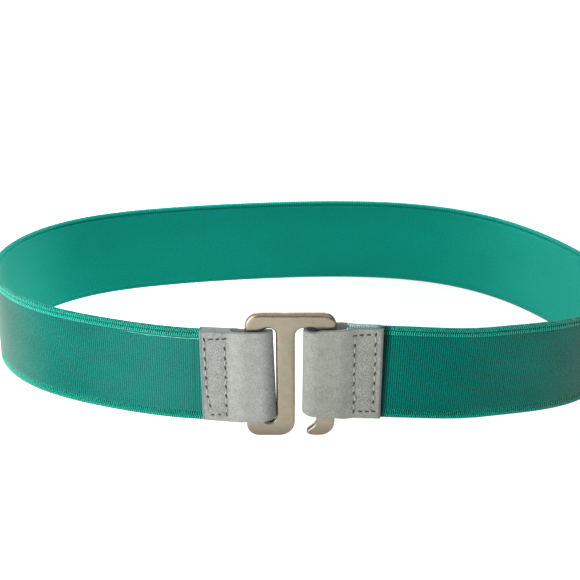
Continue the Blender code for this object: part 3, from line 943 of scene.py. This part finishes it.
def tab_faces(rows, columns):
    """A strip's quads, for its outside, its inside and the rim that joins them, and their slots."""
    count = rows * columns
    outside = grid_faces(rows, columns)
    inside = grid_faces(rows, columns, flip=True) + count
    row = np.arange(rows - 1) * columns
    mouth = np.stack((row, row + columns, row + columns + count, row + count), -1)
    column = np.arange(columns - 1)
    foot = np.stack((column + count, column + count + 1, column + 1, column), -1)
    rim = np.concatenate(
        (mouth, mouth[:, ::-1] + columns - 1, foot, foot[:, ::-1] + (rows - 1) * columns)
    )
    # The paint covers the rounded rows at the foot, where its darker colour also stands for the shade
    # under the rounded edge, and all but two of them at the top
    edge_rows = len(EDGE_ROUNDING) - 1
    face_row = np.repeat(np.arange(rows - 1), columns - 1)
    face_column = np.tile(np.arange(columns - 1), rows - 1)
    at_edge = (face_row < edge_rows) | (face_row >= rows - 1 - (edge_rows - 2))
    bevel_columns = int(MOUTH_BEVEL / SEWN_SPACING)
    at_mouth = (face_column < bevel_columns) | (face_column >= columns - 1 - bevel_columns)
    slots = np.concatenate((
        np.where(at_mouth | at_edge, PAINTED_SLOT, GRAIN_SLOT),
        np.where(at_edge, PAINTED_SLOT, BACK_SLOT),
        np.full(len(rim), PAINTED_SLOT),
    ))
    return np.concatenate((outside, inside, rim)), slots


def make_tab(tab, materials):
    """One strip of leather folded round its bar, with a rounded, painted edge all round."""
    outer, inner, pressed, rubbed = (
        np.array(column) for column in zip(*(tab_row(tab, *row) for row in tab_rows()))
    )
    faces, slots = tab_faces(*pressed.shape)
    points = np.concatenate((outer.reshape(-1, 3), inner.reshape(-1, 3)))
    layers = {"pressed": np.tile(pressed.ravel(), 2), "rubbed": np.tile(rubbed.ravel(), 2)}
    item = make_object(
        tab.name + "_leather", points, faces, materials, face_materials=slots, layers=layers
    )
    item.data.set_sharp_from_angle(angle=math.radians(50))
    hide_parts(tab.name)


def over_tab(tab, layer, flat, lift):
    """Points at (along, height) on one face of a tab, lifted off it."""
    across = layer * (tab_half_gap(flat[:, 0]) + LEATHER_THICKNESS / 2 + lift)
    return tab_points(tab, flat[:, 0], across, flat[:, 1])


def stitch_thread(tab, layer, start, end):
    """One stitch as twisted thread that dips in at both ends."""
    share = np.linspace(0.0, 1.0, THREAD_STEPS + 1)
    length = np.linalg.norm(end - start)
    run = (end - start) / length
    aside = np.array((-run[1], run[0]))
    loose = (tab.loose_stitch is not None and layer == tab.front
             and np.hypot(*((start + end) / 2 - tab.loose_stitch)) < LOOSE_WITHIN)
    reach = mix(THREAD_INSET, length - THREAD_INSET, share)[:, None]
    lean = mix(THREAD_LEAN, -THREAD_LEAN, share)[:, None]
    flat = start + run * reach + aside * lean
    lift = (LOOSE_ARCH if loose else THREAD_ARCH) * np.sin(math.pi * share) ** 0.55 - THREAD_SUNK
    radii = THREAD_RADIUS * np.where((share == 0) | (share == 1), 0.3, 1.0)
    if loose:
        flat = flat + aside * (LOOSE_SWAY * np.sin(math.pi * share))[:, None]
        radii = radii * LOOSE_THICKER
    return tube(over_tab(tab, layer, flat, lift), radii, THREAD_SIDES, THREAD_TWIST)


def stitch_hole_shadow(tab, layer, start, end, gape):
    """A stitch hole as a flat dark lens of painted shadow, longest a little across the line of stitches.
    """
    run = (end - start) / np.linalg.norm(end - start)
    aside = np.array((-run[1], run[0]))
    slant = run * 0.97 + aside * (0.2 if layer == tab.front else -0.2)
    slant /= np.linalg.norm(slant)
    reach = np.linspace(-1.0, 1.0, HOLE_STEPS)
    flat = start + slant * (reach * HOLE_LENGTH * gape)[:, None]
    radii = HOLE_WIDTH * (2.0 - gape) * np.sqrt(np.clip(1.02 - reach ** 2, 0.0, 1.0))
    return tube(over_tab(tab, layer, flat, -HOLE_SINK), radii, THREAD_SIDES)


def make_stitches(tab, materials):
    """All the stitches of a tab, on its front and its back, each thread with the painted shadow of the
    hole it starts from.
    """
    holes = stitch_holes(tab)
    parts, slots = [], []
    for layer in (-1.0, 1.0):
        for index, (start, end) in enumerate(zip(holes, np.roll(holes, -1, axis=0))):
            gape = mix(1.0, HOLE_LEAST, 0.5 + 0.5 * math.sin(2.4 * index + layer + tab.seed))
            parts.append(stitch_thread(tab, layer, start, end))
            parts.append(stitch_hole_shadow(tab, layer, start, end, gape))
            slots += [THREAD_SLOT] * len(parts[-2][1]) + [HOLE_SHADOW_SLOT] * len(parts[-1][1])
    points, faces = joined(parts)
    make_object(tab.name + "_stitches", points, faces, materials, face_materials=slots)


def rounded_outline(corners):
    """Points of a closed outline whose corners become arcs."""
    places = [Vector((corner.x, corner.z)) for corner in corners]
    points = []
    for index, (place, corner) in enumerate(zip(places, corners)):
        before = (places[index - 1] - place).normalized()
        after = (places[(index + 1) % len(places)] - place).normalized()
        half_angle = before.angle(after) / 2
        centre = place + (before + after).normalized() * corner.radius / math.sin(half_angle)
        start = place + before * corner.radius / math.tan(half_angle) - centre
        turn = math.pi - 2 * half_angle
        steps = max(LEAST_ARC_STEPS, math.ceil(turn / ARC_STEP))
        side = 1.0 if before.x * after.y - before.y * after.x < 0 else -1.0
        for step in range(steps + 1):
            angle = side * turn * step / steps
            cosine, sine = math.cos(angle), math.sin(angle)
            spoke = Vector((start.x * cosine - start.y * sine, start.x * sine + start.y * cosine))
            points.append(centre + spoke)
    return points


def buckle_curve():
    """The plate's outline and window as a filled, bevelled curve, shrunk by what its wear adds."""
    outline = bpy.data.curves.new("buckle_outline", "CURVE")
    outline.dimensions = "2D"
    outline.fill_mode = "BOTH"
    outline.extrude = BUCKLE_THICKNESS / 2 - BUCKLE_EDGE_RADIUS
    outline.bevel_depth = BUCKLE_EDGE_RADIUS
    outline.bevel_resolution = EDGE_STEPS
    outline.offset = WEAR_LOSS - BUCKLE_EDGE_RADIUS
    for corners in (BUCKLE_OUTLINE, BUCKLE_WINDOW):
        points = rounded_outline(corners)
        spline = outline.splines.new("POLY")
        spline.points.add(len(points) - 1)
        for target, point in zip(spline.points, points):
            target.co = (point.x, point.y, 0.0, 1.0)
        spline.use_cyclic_u = True
    return outline


def finished_mesh(draft):
    """The mesh of a draft object with its settings applied. The draft is removed."""
    graph = bpy.context.evaluated_depsgraph_get()
    mesh = bpy.data.meshes.new_from_object(draft.evaluated_get(graph))
    bpy.data.objects.remove(draft, do_unlink=True)
    return mesh


def worn(mesh):
    """The mesh as an even one whose edges are worn round, as on a tumbled casting."""
    draft = add_object("buckle_draft", mesh)
    even = draft.modifiers.new("even", "REMESH")
    even.mode = "VOXEL"
    even.voxel_size = BUCKLE_VOXEL
    smooth = draft.modifiers.new("worn", "SMOOTH")
    smooth.factor = 0.5
    smooth.iterations = WEAR_STEPS
    return finished_mesh(draft)


def make_buckle(material):
    """The cast plate of the hook buckle."""
    mesh = finished_mesh(add_object("buckle_outline", buckle_curve()))
    build = bmesh.new()
    build.from_mesh(mesh)
    bmesh.ops.remove_doubles(build, verts=build.verts, dist=0.001 * MM)
    bmesh.ops.recalc_face_normals(build, faces=build.faces)
    build.to_mesh(mesh)
    build.free()
    mesh = worn(mesh)
    mesh.name = "cast_buckle"
    turned = Euler((math.radians(90), -BUCKLE_TURN, BUCKLE_YAW)).to_matrix().to_4x4()
    mesh.transform(TO_WORLD @ Matrix.Translation(BUCKLE_PLACE) @ turned)
    mesh.shade_smooth()
    mesh.materials.clear()
    mesh.materials.append(material)
    item = add_object("cast_buckle", mesh)
    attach(item, "root")
    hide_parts("hook_buckle")


def make_floor():
    """A plain pale floor that glows a little, as a white sweep does under studio light."""
    mesh = bpy.data.meshes.new("floor")
    corners = [(x * FLOOR_HALF, y * FLOOR_HALF, 0.0) for x, y in ((-1, -1), (1, -1), (1, 1), (-1, 1))]
    mesh.from_pydata(corners, [], [(0, 1, 2, 3)])
    item = add_object("floor", mesh)
    item.location.z = FLOOR_HEIGHT
    nodes = Nodes(bpy.data.materials.new("studio_floor"))
    side = nodes.span(nodes.axis(nodes.solid(), "X"), *GLOW_SIDE)
    front = nodes.span(nodes.axis(nodes.solid(), "Y"), *GLOW_FRONT)
    mesh.materials.append(nodes.finish(
        Base_Color=FLOOR_GREY,
        Roughness=0.9,
        Specular_IOR_Level=0.0,
        Emission_Color=WHITE,
        Emission_Strength=nodes.total(side, front),
    ))


def make_world():
    """A studio that is white along the floor's rim, dim above it, bright overhead and to the left."""
    world = bpy.data.worlds.new("studio")
    bpy.context.scene.world = world
    nodes = Nodes(world, "Background")
    way = nodes.add("ShaderNodeTexCoord", "Generated")
    brightness = nodes.total(
        nodes.span(nodes.axis(way, "Z"), *SKY_OVERHEAD, interpolation="SMOOTHSTEP"),
        nodes.span(nodes.axis(way, "X"), *SKY_LEFT, interpolation="SMOOTHSTEP"),
        nodes.span(nodes.axis(way, "Z"), *SKY_RIM),
    )
    nodes.finish(Color=WHITE, Strength=brightness)


def make_light(light):
    lamp = bpy.data.lights.new(light.name, "AREA")
    lamp.shape = "RECTANGLE"
    lamp.size, lamp.size_y = light.size
    lamp.energy = light.power
    lamp.spread = light.spread
    item = add_object(light.name, lamp)
    item.location = light.place
    way = Vector(light.target) - Vector(light.place)
    item.rotation_euler = way.to_track_quat("-Z", "Y").to_euler()
    item.visible_glossy = light.mirrored


def make_camera():
    data = bpy.data.cameras.new("camera")
    data.sensor_width = SENSOR
    data.lens = CAMERA_FOCAL_PIXELS / PHOTO_SIZE * SENSOR
    data.clip_start, data.clip_end = CLIP
    item = add_object("camera", data)
    item.matrix_world = (TO_WORLD @ Matrix.Translation(CAMERA_PLACE)
                         @ Matrix.Rotation(math.radians(90) - CAMERA_PITCH, 4, "X")
                         @ Matrix.Rotation(CAMERA_ROLL, 4, "Z"))
    bpy.context.scene.camera = item


def make_belt():
    """All the pieces, each riding on the part's one body."""
    web = make_web(elastic_material(WEB))
    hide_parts("elastic_band")
    make_selvage("lower_selvage", LOWER_CORDS, False, elastic_material(HEM))
    make_selvage("upper_selvage", UPPER_CORDS, True, elastic_material(CORDS))
    make_border_thread(thread_material(BORDER_HIGHLIGHT_THREAD))
    painted = leather_material(PAINTED_EDGE)
    # The back side, lightened by painted light
    back = leather_material(LIT_LEATHER_BACK)
    thread = thread_material(GREY_THREAD)
    # Dark lenses of painted shadow for the stitch holes
    hole = thread_material(HOLE_SHADOW)
    for tab, grain in ((LEFT_TAB, LEFT_GRAIN), (RIGHT_TAB, RIGHT_GRAIN)):
        make_tab(tab, [leather_material(grain), painted, back])
        make_stitches(tab, [thread, hole])
    make_buckle(nickel_material("satin_nickel"))


def make_studio():
    """The floor, the world, the lights and the camera, with plain colours in the picture."""
    make_floor()
    make_world()
    for light in LIGHTS:
        make_light(light)
    make_camera()
    view = bpy.context.scene.view_settings
    view.view_transform = "Standard"
    view.look = "None"


make_belt()
make_studio()
